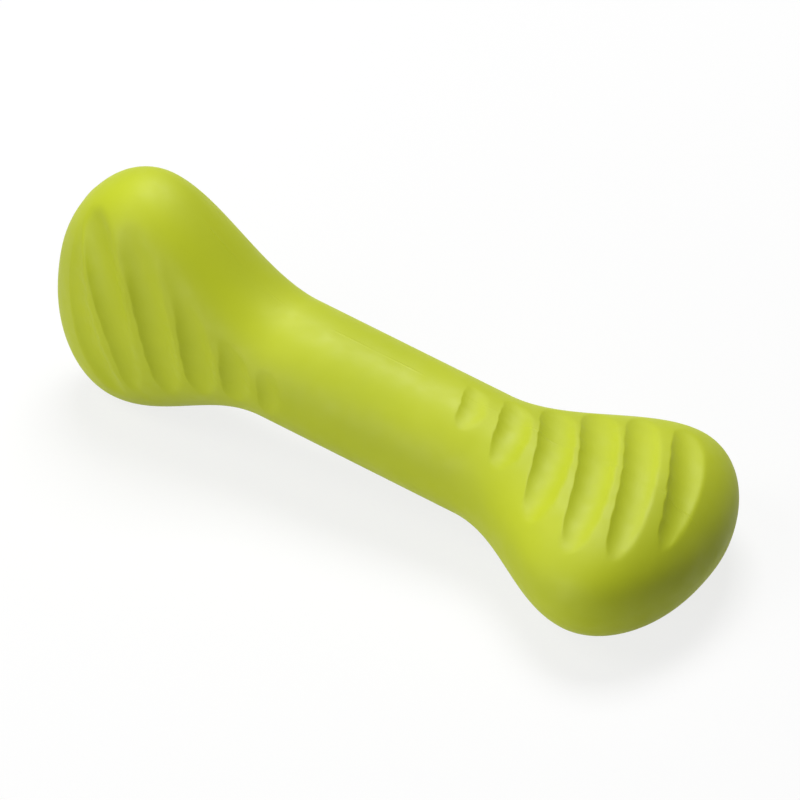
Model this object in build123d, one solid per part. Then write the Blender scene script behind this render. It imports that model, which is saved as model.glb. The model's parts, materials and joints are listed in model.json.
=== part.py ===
from build123d import *
import os
from math import cos, degrees, pi, radians, sin, sqrt, tan

# Bone body, in millimetres along and across its own axis
LENGTH = 210.0  # tip to tip
SHAFT_DIAMETER = 36.0
END_WIDTH = 79.0  # across an end, the broad way
END_THICKNESS = 39.4  # across an end, the thin way
FLARE_LENGTH = 48.3  # from the shaft to an end's broadest section
CAP_LENGTH = 25.2  # from the broadest section to the tip
END_FULLNESS = 0.64  # how square an end's section is: the handles of its quarter curves

# Scooped ridges, one row on each broad face
SCOOP_DEPTHS = (1.45, 1.65, 1.9, 1.8, 1.35, 0.75)  # below the face, from the tip to the shaft
SCOOP_RADIUS = 8.4  # of the bent bar whose shape a scoop has
SCOOP_PITCH = 13.2  # along the bone
SCOOP_SKEW = 22.8  # degrees that a scoop leans from square across the bone
TIP_MARGIN = 8.0  # from an end's rim to where a scoop runs out, at its end nearer the tip
SHAFT_MARGIN = 11.5  # the same at its end nearer the shaft
SCOOP_BOW = 3.5  # how far a scoop's ends bend towards the -X tip
BAR_LIFT = 0.3  # height of a bar's ends over the face
LAST_SCOOP = 13.9  # from the tip to the nearest scoop's middle
ROW_SHIFT = 1.5  # how far all rows sit towards the +X tip

# Smoothness of the loft
SHAFT_STEPS = 4
FLARE_STEPS = 8
CAP_STEPS = 7

HALF_LENGTH = LENGTH / 2
BROADEST_AT = HALF_LENGTH - CAP_LENGTH
FLARE_START = BROADEST_AT - FLARE_LENGTH
ROUND_FULLNESS = 4 / 3 * (sqrt(2) - 1)  # quarter curves that make a circle
HALVINGS = 40  # of the span in which a value is sought


def ramp(value, start, end):
    """Smooth rise from 0 at start to 1 at end."""
    share = min(max((value - start) / (end - start), 0), 1)
    return share * share * (3 - 2 * share)


def seek(high, is_past):
    """Value between 0 and high at which is_past turns true."""
    low = 0.0
    for _ in range(HALVINGS):
        middle = (low + high) / 2
        if is_past(middle):
            high = middle
        else:
            low = middle
    return high


def section(x):
    """Half width, half thickness and fullness of the bone's section at x."""
    spread = ramp(abs(x), FLARE_START, BROADEST_AT)
    past = max(abs(x) - BROADEST_AT, 0) / CAP_LENGTH
    cap = sqrt(max(1 - past * past, 0))
    wide = cap * (SHAFT_DIAMETER + spread * (END_WIDTH - SHAFT_DIAMETER)) / 2
    thin = cap * (SHAFT_DIAMETER + spread * (END_THICKNESS - SHAFT_DIAMETER)) / 2
    return wide, thin, ROUND_FULLNESS + spread * (END_FULLNESS - ROUND_FULLNESS)


def ring(x):
    """Section wire at x: four quarter curves, broad across Y at the +X end and across Z at the other."""
    wide, thin, full = section(x)
    across, up = (wide, thin) if x > 0 else (thin, wide)
    corners = [(across, 0), (0, up), (-across, 0), (0, -up)]
    quarters = []
    for (y0, z0), (y1, z1) in zip(corners, corners[1:] + corners[:1]):
        leave = (x, y0 + full * y1, z0 + full * z1)
        arrive = (x, y1 + full * y0, z1 + full * z0)
        quarters.append(Edge.make_bezier((x, y0, z0), leave, arrive, (x, y1, z1)))
    return Wire(quarters)


def stations():
    """Places of the sections on one half, closer together towards the tip."""
    shaft = [FLARE_START * step / SHAFT_STEPS for step in range(SHAFT_STEPS)]
    flare = [FLARE_START + FLARE_LENGTH * step / FLARE_STEPS for step in range(FLARE_STEPS)]
    cap = [BROADEST_AT + CAP_LENGTH * sin(pi / 2 * step / CAP_STEPS) for step in range(CAP_STEPS)]
    return shaft + flare + cap


def plain_bone():
    """Bone without its scoops, lofted from tip to tip."""
    half = stations()
    rings = [ring(x) for x in [-x for x in reversed(half[1:])] + half]
    return Solid.make_loft([Vertex(-HALF_LENGTH, 0, 0), *rings, Vertex(HALF_LENGTH, 0, 0)])


def quarter(t, full):
    """Share of its first radius that a quarter curve keeps at t, from 1 down to 0."""
    return (1 - t) ** 3 + 3 * (1 - t) ** 2 * t + 3 * (1 - t) * t**2 * full


def face_height(x, side):
    """Height of the broad face over the axis, at a distance to the side of its middle line."""
    wide, thin, full = section(x)
    t = seek(1.0, lambda t: wide * quarter(t, full) < abs(side))
    return thin * quarter(1 - t, full)


def face_normal(x, side):
    """Direction square to the broad face, from how it falls over one millimetre."""
    along = face_height(x - 0.5, side) - face_height(x + 0.5, side)
    across = face_height(x, side - 0.5) - face_height(x, side + 0.5)
    return Vector(along, across, 1).normalized()


def bar_middle(x, side, sink):
    """Middle of a scoop's bar that sinks so far into the face."""
    return Vector(x, side, face_height(x, side)) + face_normal(x, side) * (SCOOP_RADIUS - sink)


def bar_end(x, way):
    """Middle of the bar of the scoop at x at its end on the far side or, with way -1, the near side."""
    lean = -way * tan(radians(SCOOP_SKEW))
    margin = TIP_MARGIN if lean * x > 0 else SHAFT_MARGIN
    side = seek(END_WIDTH / 2, lambda side: side > section(x + lean * side)[0] - margin)
    return bar_middle(x + lean * side - SCOOP_BOW, way * side, -BAR_LIFT)


def scoop(x, depth):
    """Bent bar that cuts one scoop across the top face at x and leaves the face at both ends."""
    far = bar_end(x, 1)
    path = Edge.make_three_point_arc(far, bar_middle(x, 0, depth), bar_end(x, -1))
    return sweep(Plane(far, z_dir=path % 0) * Circle(SCOOP_RADIUS), path)


def scoops():
    """Cutters for a row on each broad face: above and below at one end, before and behind at the other."""
    cutters = []
    for step, depth in enumerate(SCOOP_DEPTHS):
        for end, quarter_turns in ((1, (0, 2)), (-1, (1, 3))):
            bar = scoop(ROW_SHIFT + end * (HALF_LENGTH - LAST_SCOOP - step * SCOOP_PITCH), depth)
            cutters += [Rot(X=90 * turns) * bar for turns in quarter_turns]
    return cutters


def reach_down(tilt, end):
    """How far one end reaches below the bone's middle when its axis dips by tilt towards +X."""
    reaches = []
    for x in stations():
        wide, thin, _ = section(x)
        reaches.append(end * x * sin(tilt) + (thin if end > 0 else wide) * cos(tilt))
    return max(reaches)


def rest_tilt():
    """Dip of the axis, in radians, at which both ends touch the ground."""
    return seek(pi / 4, lambda tilt: reach_down(tilt, 1) > reach_down(tilt, -1))


def bone_body():
    """Scooped bone, lying on both ends with its lowest point on the ground and centred over the origin."""
    bone = plain_bone()
    for cutter in scoops():
        bone -= cutter
    bone = Rot(Y=degrees(rest_tilt())) * bone
    box = bone.bounding_box()
    return Pos(-box.center().X, -box.center().Y, -box.min.Z) * bone


os.makedirs("parts", exist_ok=True)
export_step(bone_body(), "parts/bone_body.step")
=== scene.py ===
import json
from collections import namedtuple
from math import asin, atan2, cos, pi, radians, sin, sqrt, tan

import bpy
import numpy as np
from mathutils import Euler, Matrix, Vector


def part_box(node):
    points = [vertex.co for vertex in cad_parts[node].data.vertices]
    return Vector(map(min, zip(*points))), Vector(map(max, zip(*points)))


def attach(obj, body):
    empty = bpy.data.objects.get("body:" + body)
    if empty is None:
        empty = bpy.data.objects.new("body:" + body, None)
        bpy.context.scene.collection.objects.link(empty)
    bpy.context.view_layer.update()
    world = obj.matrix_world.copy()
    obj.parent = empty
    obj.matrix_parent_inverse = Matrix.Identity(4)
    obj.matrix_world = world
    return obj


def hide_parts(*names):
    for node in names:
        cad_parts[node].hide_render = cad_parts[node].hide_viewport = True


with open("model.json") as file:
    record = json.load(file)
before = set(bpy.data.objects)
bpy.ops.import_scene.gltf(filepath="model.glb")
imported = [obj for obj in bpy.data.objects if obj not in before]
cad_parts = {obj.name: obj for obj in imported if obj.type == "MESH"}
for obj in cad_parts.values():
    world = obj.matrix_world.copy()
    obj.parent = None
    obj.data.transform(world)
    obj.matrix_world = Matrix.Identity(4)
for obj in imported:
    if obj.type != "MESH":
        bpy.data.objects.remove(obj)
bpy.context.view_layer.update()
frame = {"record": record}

MM = 0.001

# Bone body, in millimetres along and across its own axis, as it is constructed
LENGTH = 210.0
SHAFT_DIAMETER = 36.0
END_WIDTH = 79.0
END_THICKNESS = 39.4
FLARE_LENGTH = 48.3  # from the shaft to an end's broadest section
CAP_LENGTH = 25.2  # from the broadest section to the tip
END_FULLNESS = 0.64  # handles of an end's quarter curves
HALF_LENGTH = LENGTH / 2
BROADEST_AT = HALF_LENGTH - CAP_LENGTH
FLARE_START = BROADEST_AT - FLARE_LENGTH
ROUND_FULLNESS = 4 / 3 * (sqrt(2) - 1)

# Scooped ridges
SCOOP_DEPTHS = (1.45, 1.65, 1.9, 1.8, 1.35, 0.75)  # from the tip to the shaft
SCOOP_RADIUS = 8.4
SCOOP_PITCH = 13.2
SCOOP_SKEW = radians(22.8)
TIP_MARGIN = 8.0  # from the rim to where a scoop runs out, nearer the tip
SHAFT_MARGIN = 11.5
SCOOP_BOW = 3.5  # how far a scoop's ends bend towards the -X tip, or away from it on the -X cap
BAR_LIFT = 0.3
LAST_SCOOP = 13.9
ROW_SHIFT = 1.5
LEFT_SHIFTS = (0, 0, 0.5, 0, -1.5, -3.8)  # how far the -X end's scoops lie from an even row
CRISP_ROUNDING = 0.05  # height over which a scoop's edge is rounded off, on its -X side
SOFT_ROUNDING = 0.6  # the same on its +X side
TOP_ROUNDING = 1.4  # more of it towards the upper ends of the -X end's scoops
TOP_FADE = (11, 26)  # where that sets in, to the side of the face's middle line
EDGE_SOFTENS = (-1.5, 3.5)  # where, across a scoop, its rounding turns from crisp to soft
BAR_OVERRUN = 6.0  # how far a bar goes on past its ends, over the face
EDGE_WANDER = 0.16  # how far the edges stray from a straight line
WANDER_WAVES = ((1.0, 0.9, 1), (0.6, 2.2, -1))  # share, radians per millimetre, sign of the phase

# Mould parting line, over and under the bone
SEAM_HEIGHT = 0.12
SEAM_WIDTH = 0.22
SEAM_WAVES = ((0.083, 0.4), (0.21, 1.0))  # that break it up: radians per millimetre, phase
SEAM_OFFSET = 0.15  # raises the waves, so that more of the line shows

# Mesh: rings along the bone, to the millimetre, and columns round a quarter of it
RINGS = 440
SHAFT_DENSITY = 0.5
END_DENSITY = 1.6
EDGE_DENSITY = 3.6  # more of them at the crisp edges of the scoops
EDGE_REACH = 1.2
LEAN_START = (4, 20)  # where the rings begin to lean with the scoops
LEAN_END = (84, 105)  # where they straighten again towards the tips
LEAN_FLANK = (0.7, 1)  # shares of the half width over which they straighten towards the flanks
TIP_EASE = 0.0004  # keeps the rings from crowding at the tips
QUARTER_COLUMNS = 47
COLUMN_EVENNESS = 0.35  # draws the columns towards the flanks and crowns
SEAM_COLUMNS = (0.018, 0.012, 0.008, 0.005, 0.003, 0.0015)  # shares of a quarter, beside the seam
SEAM_BAND = 1.5 * SEAM_COLUMNS[0]  # share of a quarter that is left to them

# Fineness of what is found step by step
HALVINGS = 40
CLIMB_START = 3.0  # below the face, from where a scoop's floor is sought
CLIMB_STEPS = 30
LEAN_STEPS = 12
RING_SAMPLES = 20001

# Rubber, with relief in millimetres
DEEP_LIME = (0.48, 0.555, 0.004)
PALE_LIME = (0.54, 0.615, 0.008)
ROUGHNESS = (0.54, 0.64)
SHEEN = 0.55
SWELL_HEIGHT = 0.06
GRAIN_HEIGHT = 0.012
NOISE_RANGE = (0.3, 0.7)  # values that most of the noise lies between

# View of the photograph, which is 800 pixels square
PICTURE = 800
PIXELS_PER_MM = 3.6085
MIDDLE_PIXEL = (385.0, 406.1)  # where the bone's middle is seen
VIEW_AZIMUTH = radians(31.54)
VIEW_ELEVATION = radians(40.26)
VIEW_ROLL = radians(-0.34)
VIEW_DISTANCE = 3.0
SENSOR = 36.0

# Studio, in metres
FLOOR_REACH = 4.0
FLOOR_BOUNCE = 0.5  # share of its light that the floor throws back onto the bone
SHADOW_STRENGTH = 0.2
ROOM_LIGHT = 0.03
LIGHT_DISTANCE = 1.2


def ramp(value, start, end):
    """Smooth rise from 0 at start to 1 at end."""
    share = np.clip((value - start) / (end - start), 0, 1)
    return share * share * (3 - 2 * share)


def seek(high, is_past):
    """Value between 0 and high at which is_past turns true."""
    low = 0.0
    for _ in range(HALVINGS):
        middle = (low + high) / 2
        if is_past(middle):
            high = middle
        else:
            low = middle
    return high


def section(x):
    """Half width, half thickness and fullness of the bone's section at x."""
    spread = ramp(np.abs(x), FLARE_START, BROADEST_AT)
    past = np.maximum(np.abs(x) - BROADEST_AT, 0) / CAP_LENGTH
    cap = np.sqrt(np.maximum(1 - past * past, 0))
    wide = cap * (SHAFT_DIAMETER + spread * (END_WIDTH - SHAFT_DIAMETER)) / 2
    thin = cap * (SHAFT_DIAMETER + spread * (END_THICKNESS - SHAFT_DIAMETER)) / 2
    return wide, thin, ROUND_FULLNESS + spread * (END_FULLNESS - ROUND_FULLNESS)


def quarter(t, full):
    """Share of its first radius that a quarter curve keeps at t, from 1 down to 0."""
    return (1 - t) ** 3 + 3 * (1 - t) ** 2 * t + 3 * (1 - t) * t**2 * full


def face_height(x, side):
    """Height of the broad face over the axis, at a distance to the side of its middle line."""
    wide, thin, full = section(x)
    t = seek(1.0, lambda t: wide * quarter(t, full) < abs(side))
    return thin * quarter(1 - t, full)


def face_normal(x, side):
    """Direction square to the broad face, from how it falls over one millimetre."""
    along = face_height(x - 0.5, side) - face_height(x + 0.5, side)
    across = face_height(x, side - 0.5) - face_height(x, side + 0.5)
    return np.array([along, across, 1]) / sqrt(along**2 + across**2 + 1)


def bar_middle(x, side, sink):
    """Middle of a scoop's bar that sinks so far into the face."""
    return np.array([x, side, face_height(x, side)]) + face_normal(x, side) * (SCOOP_RADIUS - sink)


def bar_end(x, way):
    """Middle of the bar of the scoop at x at its end on the far side or, with way -1, the near side."""
    lean = -way * tan(SCOOP_SKEW)
    margin = TIP_MARGIN if lean * x > 0 else SHAFT_MARGIN
    side = seek(END_WIDTH / 2, lambda side: side > section(x + lean * side)[0] - margin)
    bow = -SCOOP_BOW if x > -BROADEST_AT else SCOOP_BOW
    return bar_middle(x + lean * side + bow, way * side, -BAR_LIFT)


Bar = namedtuple("Bar", "place centre axes reach start stop")


def scoop_bar(x, depth):
    """Bent bar that cuts the scoop at x: the arc that its middle follows, with the angles of its ends."""
    middle = bar_middle(x, 0, depth)
    far = bar_end(x, 1) - middle
    near = bar_end(x, -1) - middle
    normal = np.cross(far, near)
    centre = np.cross(far @ far * near - near @ near * far, normal) / (2 * normal @ normal)
    reach = np.linalg.norm(centre)
    ahead = -centre / reach
    upright = normal * np.sign(normal[0]) / np.linalg.norm(normal)
    axes = np.array([ahead, np.cross(upright, ahead), upright])
    angles = [atan2(axes[1] @ (end - centre), axes[0] @ (end - centre)) for end in (near, far)]
    overrun = BAR_OVERRUN / reach
    return Bar(x, middle + centre, axes, reach, min(angles) - overrun, max(angles) + overrun)


def scoop_floor(bar, x, side, face):
    """Height of a scoop's floor over the axis, found by climbing to its bar, and its edge's rounding."""
    wander = sum(share * np.sin(rate * side + sign * bar.place) for share, rate, sign in WANDER_WAVES)
    along = x - bar.centre[0] + EDGE_WANDER * wander
    beside = side - bar.centre[1]
    height = face - bar.centre[2] - CLIMB_START
    for _ in range(CLIMB_STEPS):
        ahead, turned, off = [along * axis[0] + beside * axis[1] + height * axis[2] for axis in bar.axes]
        height = height + np.hypot(np.hypot(ahead, turned) - bar.reach, off) - SCOOP_RADIUS
    angle = np.arctan2(turned, ahead)
    within = (angle > bar.start) & (angle < bar.stop)
    soft = ramp(x + tan(SCOOP_SKEW) * side - bar.place, *EDGE_SOFTENS)
    rounding = CRISP_ROUNDING + (SOFT_ROUNDING - CRISP_ROUNDING) * soft
    rounding += np.where(x < 0, TOP_ROUNDING * ramp(side, *TOP_FADE), 0)
    return np.where(within, height + bar.centre[2], np.inf), rounding


def soft_min(a, b, rounding):
    """Lower of a and b, rounded off where they cross."""
    share = np.maximum(rounding - np.abs(a - b), 0) / rounding
    return np.minimum(a, b) - share * share * rounding / 4


def scoop_places():
    """Place along the bone and depth of each scoop of a row at either end."""
    places = []
    for step, (depth, shift) in enumerate(zip(SCOOP_DEPTHS, LEFT_SHIFTS)):
        from_middle = HALF_LENGTH - LAST_SCOOP - step * SCOOP_PITCH
        places.append((ROW_SHIFT + from_middle, depth))
        places.append((ROW_SHIFT - from_middle + shift, depth))
    return places


def carve(x, y, z):
    """Y and Z with the scoops sunk into the broad faces: over and under at +X, before and behind at -X."""
    right = x > 0
    broad = np.where(right, z, -y)
    side = np.where(right, y, z)
    face = np.where(broad < 0, -1, 1)
    height = np.abs(broad)
    for place, depth in scoop_places():
        bottom, rounding = scoop_floor(scoop_bar(place, depth), x, side * face, np.abs(broad))
        height = soft_min(height, bottom, rounding)
    carved = face * height
    return np.where(right, y, -carved), np.where(right, carved, z)


def ring_places():
    """Places of the mesh's rings on the faces' middle lines, closest together at the scoops' edges."""
    x = np.linspace(-HALF_LENGTH, HALF_LENGTH, RING_SAMPLES)
    past = np.maximum(np.abs(x) - BROADEST_AT, 0) / CAP_LENGTH
    density = SHAFT_DENSITY + (END_DENSITY - SHAFT_DENSITY) * ramp(np.abs(x), *LEAN_START)
    density = density / np.sqrt(1 + TIP_EASE - past * past)
    for place, depth in scoop_places():
        half_width = sqrt(2 * SCOOP_RADIUS * depth - depth**2) / cos(SCOOP_SKEW)
        density += EDGE_DENSITY * np.exp(-(((x - place + half_width) / EDGE_REACH) ** 2))
    passed = np.cumsum(density)
    return np.interp(np.linspace(passed[0], passed[-1], RINGS + 2)[1:-1], passed, x)


def leaning_rings(ring, turn):
    """Place along the bone of each point of the rings, which lean with the scoops on the broad faces."""
    lean = tan(SCOOP_SKEW) * ramp(np.abs(ring), *LEAN_START) * (1 - ramp(np.abs(ring), *LEAN_END))
    odd = np.floor(turn) % 2 == 1
    x = ring
    for _ in range(LEAN_STEPS):
        wide, _, full = section(x)
        before = quarter(turn % 1, full)
        behind = -quarter(1 - turn % 1, full)
        share = np.where(odd == (ring < 0), before, behind)
        x = ring - lean * wide * share * (1 - ramp(np.abs(share), *LEAN_FLANK))
    return x


def column_places():
    """Places of the columns round the bone in quarter turns from +Y, close together at the seam."""
    share = np.arange(QUARTER_COLUMNS) / QUARTER_COLUMNS
    even = share - COLUMN_EVENNESS * np.sin(2 * pi * share) / (2 * pi)
    up = np.concatenate([even * (1 - SEAM_BAND), 1 - np.array(SEAM_COLUMNS)])
    over = np.concatenate([up, [1.0], 2 - up[:0:-1]])
    return np.concatenate([over, over + 2])


def plain_surface(x, turn):
    """Y and Z of the unscooped bone at x, at a place round it in quarter turns."""
    wide, thin, full = section(x)
    across = np.where(x > 0, wide, thin)
    up = np.where(x > 0, thin, wide)
    t = turn % 1
    falling = quarter(t, full)
    rising = quarter(1 - t, full)
    odd = np.floor(turn) % 2 == 1
    y = np.where(odd, rising, falling) * np.where((turn > 1) & (turn <= 3), -1, 1)
    z = np.where(odd, falling, rising) * np.where(turn > 2, -1, 1)
    return across * y, up * z


def grid_normals(points):
    """Outward normals of a grid of points whose columns close round it."""
    along = np.gradient(points, axis=0)
    round_it = np.roll(points, -1, axis=1) - np.roll(points, 1, axis=1)
    normals = np.cross(round_it, along)
    return normals / np.linalg.norm(normals, axis=2, keepdims=True)


def bone_points():
    """Points of the scooped bone with its seam, in millimetres on the bone's own axes."""
    ring, turn = np.meshgrid(ring_places(), column_places(), indexing="ij")
    x = leaning_rings(ring, turn)
    y, z = carve(x, *plain_surface(x, turn))
    points = np.stack([x, y, z], axis=2)
    long_wave, short_wave = [np.sin(rate * x + phase) for rate, phase in SEAM_WAVES]
    broken = np.clip(SEAM_OFFSET + long_wave * short_wave, 0, 1)
    seam = SEAM_HEIGHT * broken * np.exp(-((y / SEAM_WIDTH) ** 2))
    return points + grid_normals(points) * seam[:, :, None]


def grid_faces(rings, columns):
    """Quads between the rings of a closed grid, and fans to a point at either end."""
    index = np.arange(rings * columns).reshape(rings, columns)
    beside = np.roll(index, -1, axis=1)
    quads = np.stack([index[:-1], beside[:-1], beside[1:], index[1:]], axis=2).reshape(-1, 4)
    first_tip = rings * columns
    start = [(first_tip, b, a) for a, b in zip(index[0].tolist(), beside[0].tolist())]
    end = [(first_tip + 1, a, b) for a, b in zip(index[-1].tolist(), beside[-1].tolist())]
    return [*quads.tolist(), *start, *end]


def shaft_grip():
    """The record's mount on the shaft, at the bone's middle and along its axis."""
    return next(mount for mount in frame["record"]["mounts"] if mount["name"] == "shaft_grip")


def bone_mesh():
    """Bone in metres, tilted to lie on both ends, in the place of its solid."""
    grid = bone_points()
    tips = [(-HALF_LENGTH, 0, 0), (HALF_LENGTH, 0, 0)]
    points = np.concatenate([grid.reshape(-1, 3), tips])
    dip = asin(-shaft_grip()["axis"][2])
    points = points @ np.array(Matrix.Rotation(dip, 3, "Y")).T * MM
    low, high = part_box("bone_body")
    middle = (points.min(0) + points.max(0)) / 2
    bottom = points[:, 2].min()
    points += [(low.x + high.x) / 2 - middle[0], (low.y + high.y) / 2 - middle[1], low.z - bottom]
    mesh = bpy.data.meshes.new("bone")
    mesh.from_pydata(points.tolist(), [], grid_faces(*grid.shape[:2]))
    mesh.shade_smooth()
    return mesh


def rubber():
    """Satin moulded rubber, coloured right through."""
    material = bpy.data.materials.new("lime_rubber")
    material.use_nodes = True
    tree = material.node_tree
    shader = tree.nodes["Principled BSDF"]
    place = tree.nodes.new("ShaderNodeTexCoord").outputs["Object"]
    tone = blend(tree, noise(tree, place, scale=28, detail=3), DEEP_LIME, PALE_LIME)
    tree.links.new(tone, shader.inputs["Base Color"])
    smooth, rough = [(value, value, value) for value in ROUGHNESS]
    gloss = blend(tree, noise(tree, place, scale=190, detail=4), smooth, rough)
    tree.links.new(gloss, shader.inputs["Roughness"])
    shader.inputs["Specular IOR Level"].default_value = SHEEN
    swell = bump(tree, noise(tree, place, scale=130, detail=2), SWELL_HEIGHT)
    grain = bump(tree, noise(tree, place, scale=2600, detail=2), GRAIN_HEIGHT, under=swell)
    tree.links.new(grain, shader.inputs["Normal"])
    return material


def noise(tree, place, scale, detail):
    """Smooth noise, with so many swells to the metre."""
    node = tree.nodes.new("ShaderNodeTexNoise")
    node.inputs["Scale"].default_value = scale
    node.inputs["Detail"].default_value = detail
    tree.links.new(place, node.inputs["Vector"])
    return node.outputs["Fac"]


def blend(tree, value, first, last):
    """Colour that runs from one to another over the range of the noise."""
    node = tree.nodes.new("ShaderNodeValToRGB")
    for element, at, colour in zip(node.color_ramp.elements, NOISE_RANGE, (first, last)):
        element.position = at
        element.color = (*colour, 1)
    tree.links.new(value, node.inputs["Fac"])
    return node.outputs["Color"]


def bump(tree, value, height, under=None):
    """Relief of a height in millimetres, which may lie over another relief."""
    node = tree.nodes.new("ShaderNodeBump")
    node.inputs["Distance"].default_value = height * MM
    tree.links.new(value, node.inputs["Height"])
    if under:
        tree.links.new(under, node.inputs["Normal"])
    return node.outputs["Normal"]


def camera():
    """Camera at the photograph's view of the bone's middle."""
    data = bpy.data.cameras.new("camera")
    data.sensor_width = SENSOR
    data.lens = PIXELS_PER_MM / MM * VIEW_DISTANCE * SENSOR / PICTURE
    data.shift_x = 0.5 - MIDDLE_PIXEL[0] / PICTURE
    data.shift_y = MIDDLE_PIXEL[1] / PICTURE - 0.5
    body = bpy.data.objects.new("camera", data)
    level = Vector((sin(VIEW_AZIMUTH), -cos(VIEW_AZIMUTH), 0))
    back = level * cos(VIEW_ELEVATION) + Vector((0, 0, sin(VIEW_ELEVATION)))
    turn = back.to_track_quat("Z", "Y") @ Euler((0, 0, VIEW_ROLL)).to_quaternion()
    body.location = Vector(shaft_grip()["pos_m"]) + back * VIEW_DISTANCE
    body.rotation_euler = turn.to_euler()
    bpy.context.scene.collection.objects.link(body)
    bpy.context.scene.camera = body


def area_light(name, azimuth, elevation, size, power):
    """Soft light that looks at the bone from a direction in degrees, counted from +X towards +Y."""
    data = bpy.data.lights.new(name, "AREA")
    data.shape = "RECTANGLE"
    data.size, data.size_y = size
    data.energy = power
    light = bpy.data.objects.new(name, data)
    away = Euler((0, radians(-elevation), radians(azimuth))).to_matrix() @ Vector((1, 0, 0))
    light.location = away * LIGHT_DISTANCE
    light.rotation_euler = away.to_track_quat("Z", "Y").to_euler()
    bpy.context.scene.collection.objects.link(light)


def seen_ray(tree):
    """One for rays that show a surface, straight, mirrored or through glass, and zero for stray light."""
    path = tree.nodes.new("ShaderNodeLightPath").outputs
    seen = path["Is Camera Ray"]
    for kind in ("Is Glossy Ray", "Is Transmission Ray"):
        both = tree.nodes.new("ShaderNodeMath")
        both.operation = "MAXIMUM"
        tree.links.new(seen, both.inputs[0])
        tree.links.new(path[kind], both.inputs[1])
        seen = both.outputs[0]
    return seen


def mix(tree, share, first, second):
    """Shader between two others."""
    node = tree.nodes.new("ShaderNodeMixShader")
    if isinstance(share, float):
        node.inputs["Fac"].default_value = share
    else:
        tree.links.new(share, node.inputs["Fac"])
    tree.links.new(first, node.inputs[1])
    tree.links.new(second, node.inputs[2])
    return node.outputs[0]


def matte(tree, grey):
    """Plain matte grey."""
    node = tree.nodes.new("ShaderNodeBsdfDiffuse")
    node.inputs["Color"].default_value = (grey, grey, grey, 1)
    return node.outputs[0]


def paper():
    """White floor paper that shows a light shadow and throws half of its light back."""
    material = bpy.data.materials.new("paper")
    material.use_nodes = True
    tree = material.node_tree
    glow = tree.nodes.new("ShaderNodeEmission")
    glow.inputs["Strength"].default_value = 1.0
    shown = mix(tree, SHADOW_STRENGTH, glow.outputs[0], matte(tree, 1.0))
    surface = mix(tree, seen_ray(tree), matte(tree, FLOOR_BOUNCE), shown)
    tree.links.new(surface, tree.nodes["Material Output"].inputs["Surface"])
    return material


def floor():
    """Wide flat floor, which isn't part of the bone."""
    corners = [(-FLOOR_REACH, -FLOOR_REACH, 0), (FLOOR_REACH, -FLOOR_REACH, 0)]
    corners += [(FLOOR_REACH, FLOOR_REACH, 0), (-FLOOR_REACH, FLOOR_REACH, 0)]
    mesh = bpy.data.meshes.new("floor")
    mesh.from_pydata(corners, [], [(0, 1, 2, 3)])
    mesh.materials.append(paper())
    sheet = bpy.data.objects.new("floor", mesh)
    bpy.context.scene.collection.objects.link(sheet)


def room():
    """White room round the floor, seen as white and giving a little light of its own."""
    world = bpy.data.worlds.new("room")
    bpy.context.scene.world = world
    world.use_nodes = True
    tree = world.node_tree
    light = tree.nodes["Background"]
    light.inputs["Color"].default_value = (1, 1, 1, 1)
    light.inputs["Strength"].default_value = ROOM_LIGHT
    white = tree.nodes.new("ShaderNodeBackground")
    white.inputs["Color"].default_value = (1, 1, 1, 1)
    surface = mix(tree, seen_ray(tree), light.outputs[0], white.outputs[0])
    tree.links.new(surface, tree.nodes["World Output"].inputs["Surface"])


def studio():
    """Floor, room and soft lights: one overhead from behind, two weaker ones from the front left."""
    floor()
    room()
    area_light("overhead", azimuth=120, elevation=70, size=(0.6, 0.6), power=11.6)
    area_light("front_left", azimuth=225, elevation=50, size=(0.6, 0.6), power=3.1)
    area_light("front_low", azimuth=257, elevation=12, size=(0.9, 0.4), power=5.6)


bone = bpy.data.objects.new("bone", bone_mesh())
bpy.context.scene.collection.objects.link(bone)
bone.data.materials.append(rubber())
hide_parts("bone_body")
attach(bone, "root")

studio()
camera()
bpy.context.scene.view_settings.view_transform = "Standard"
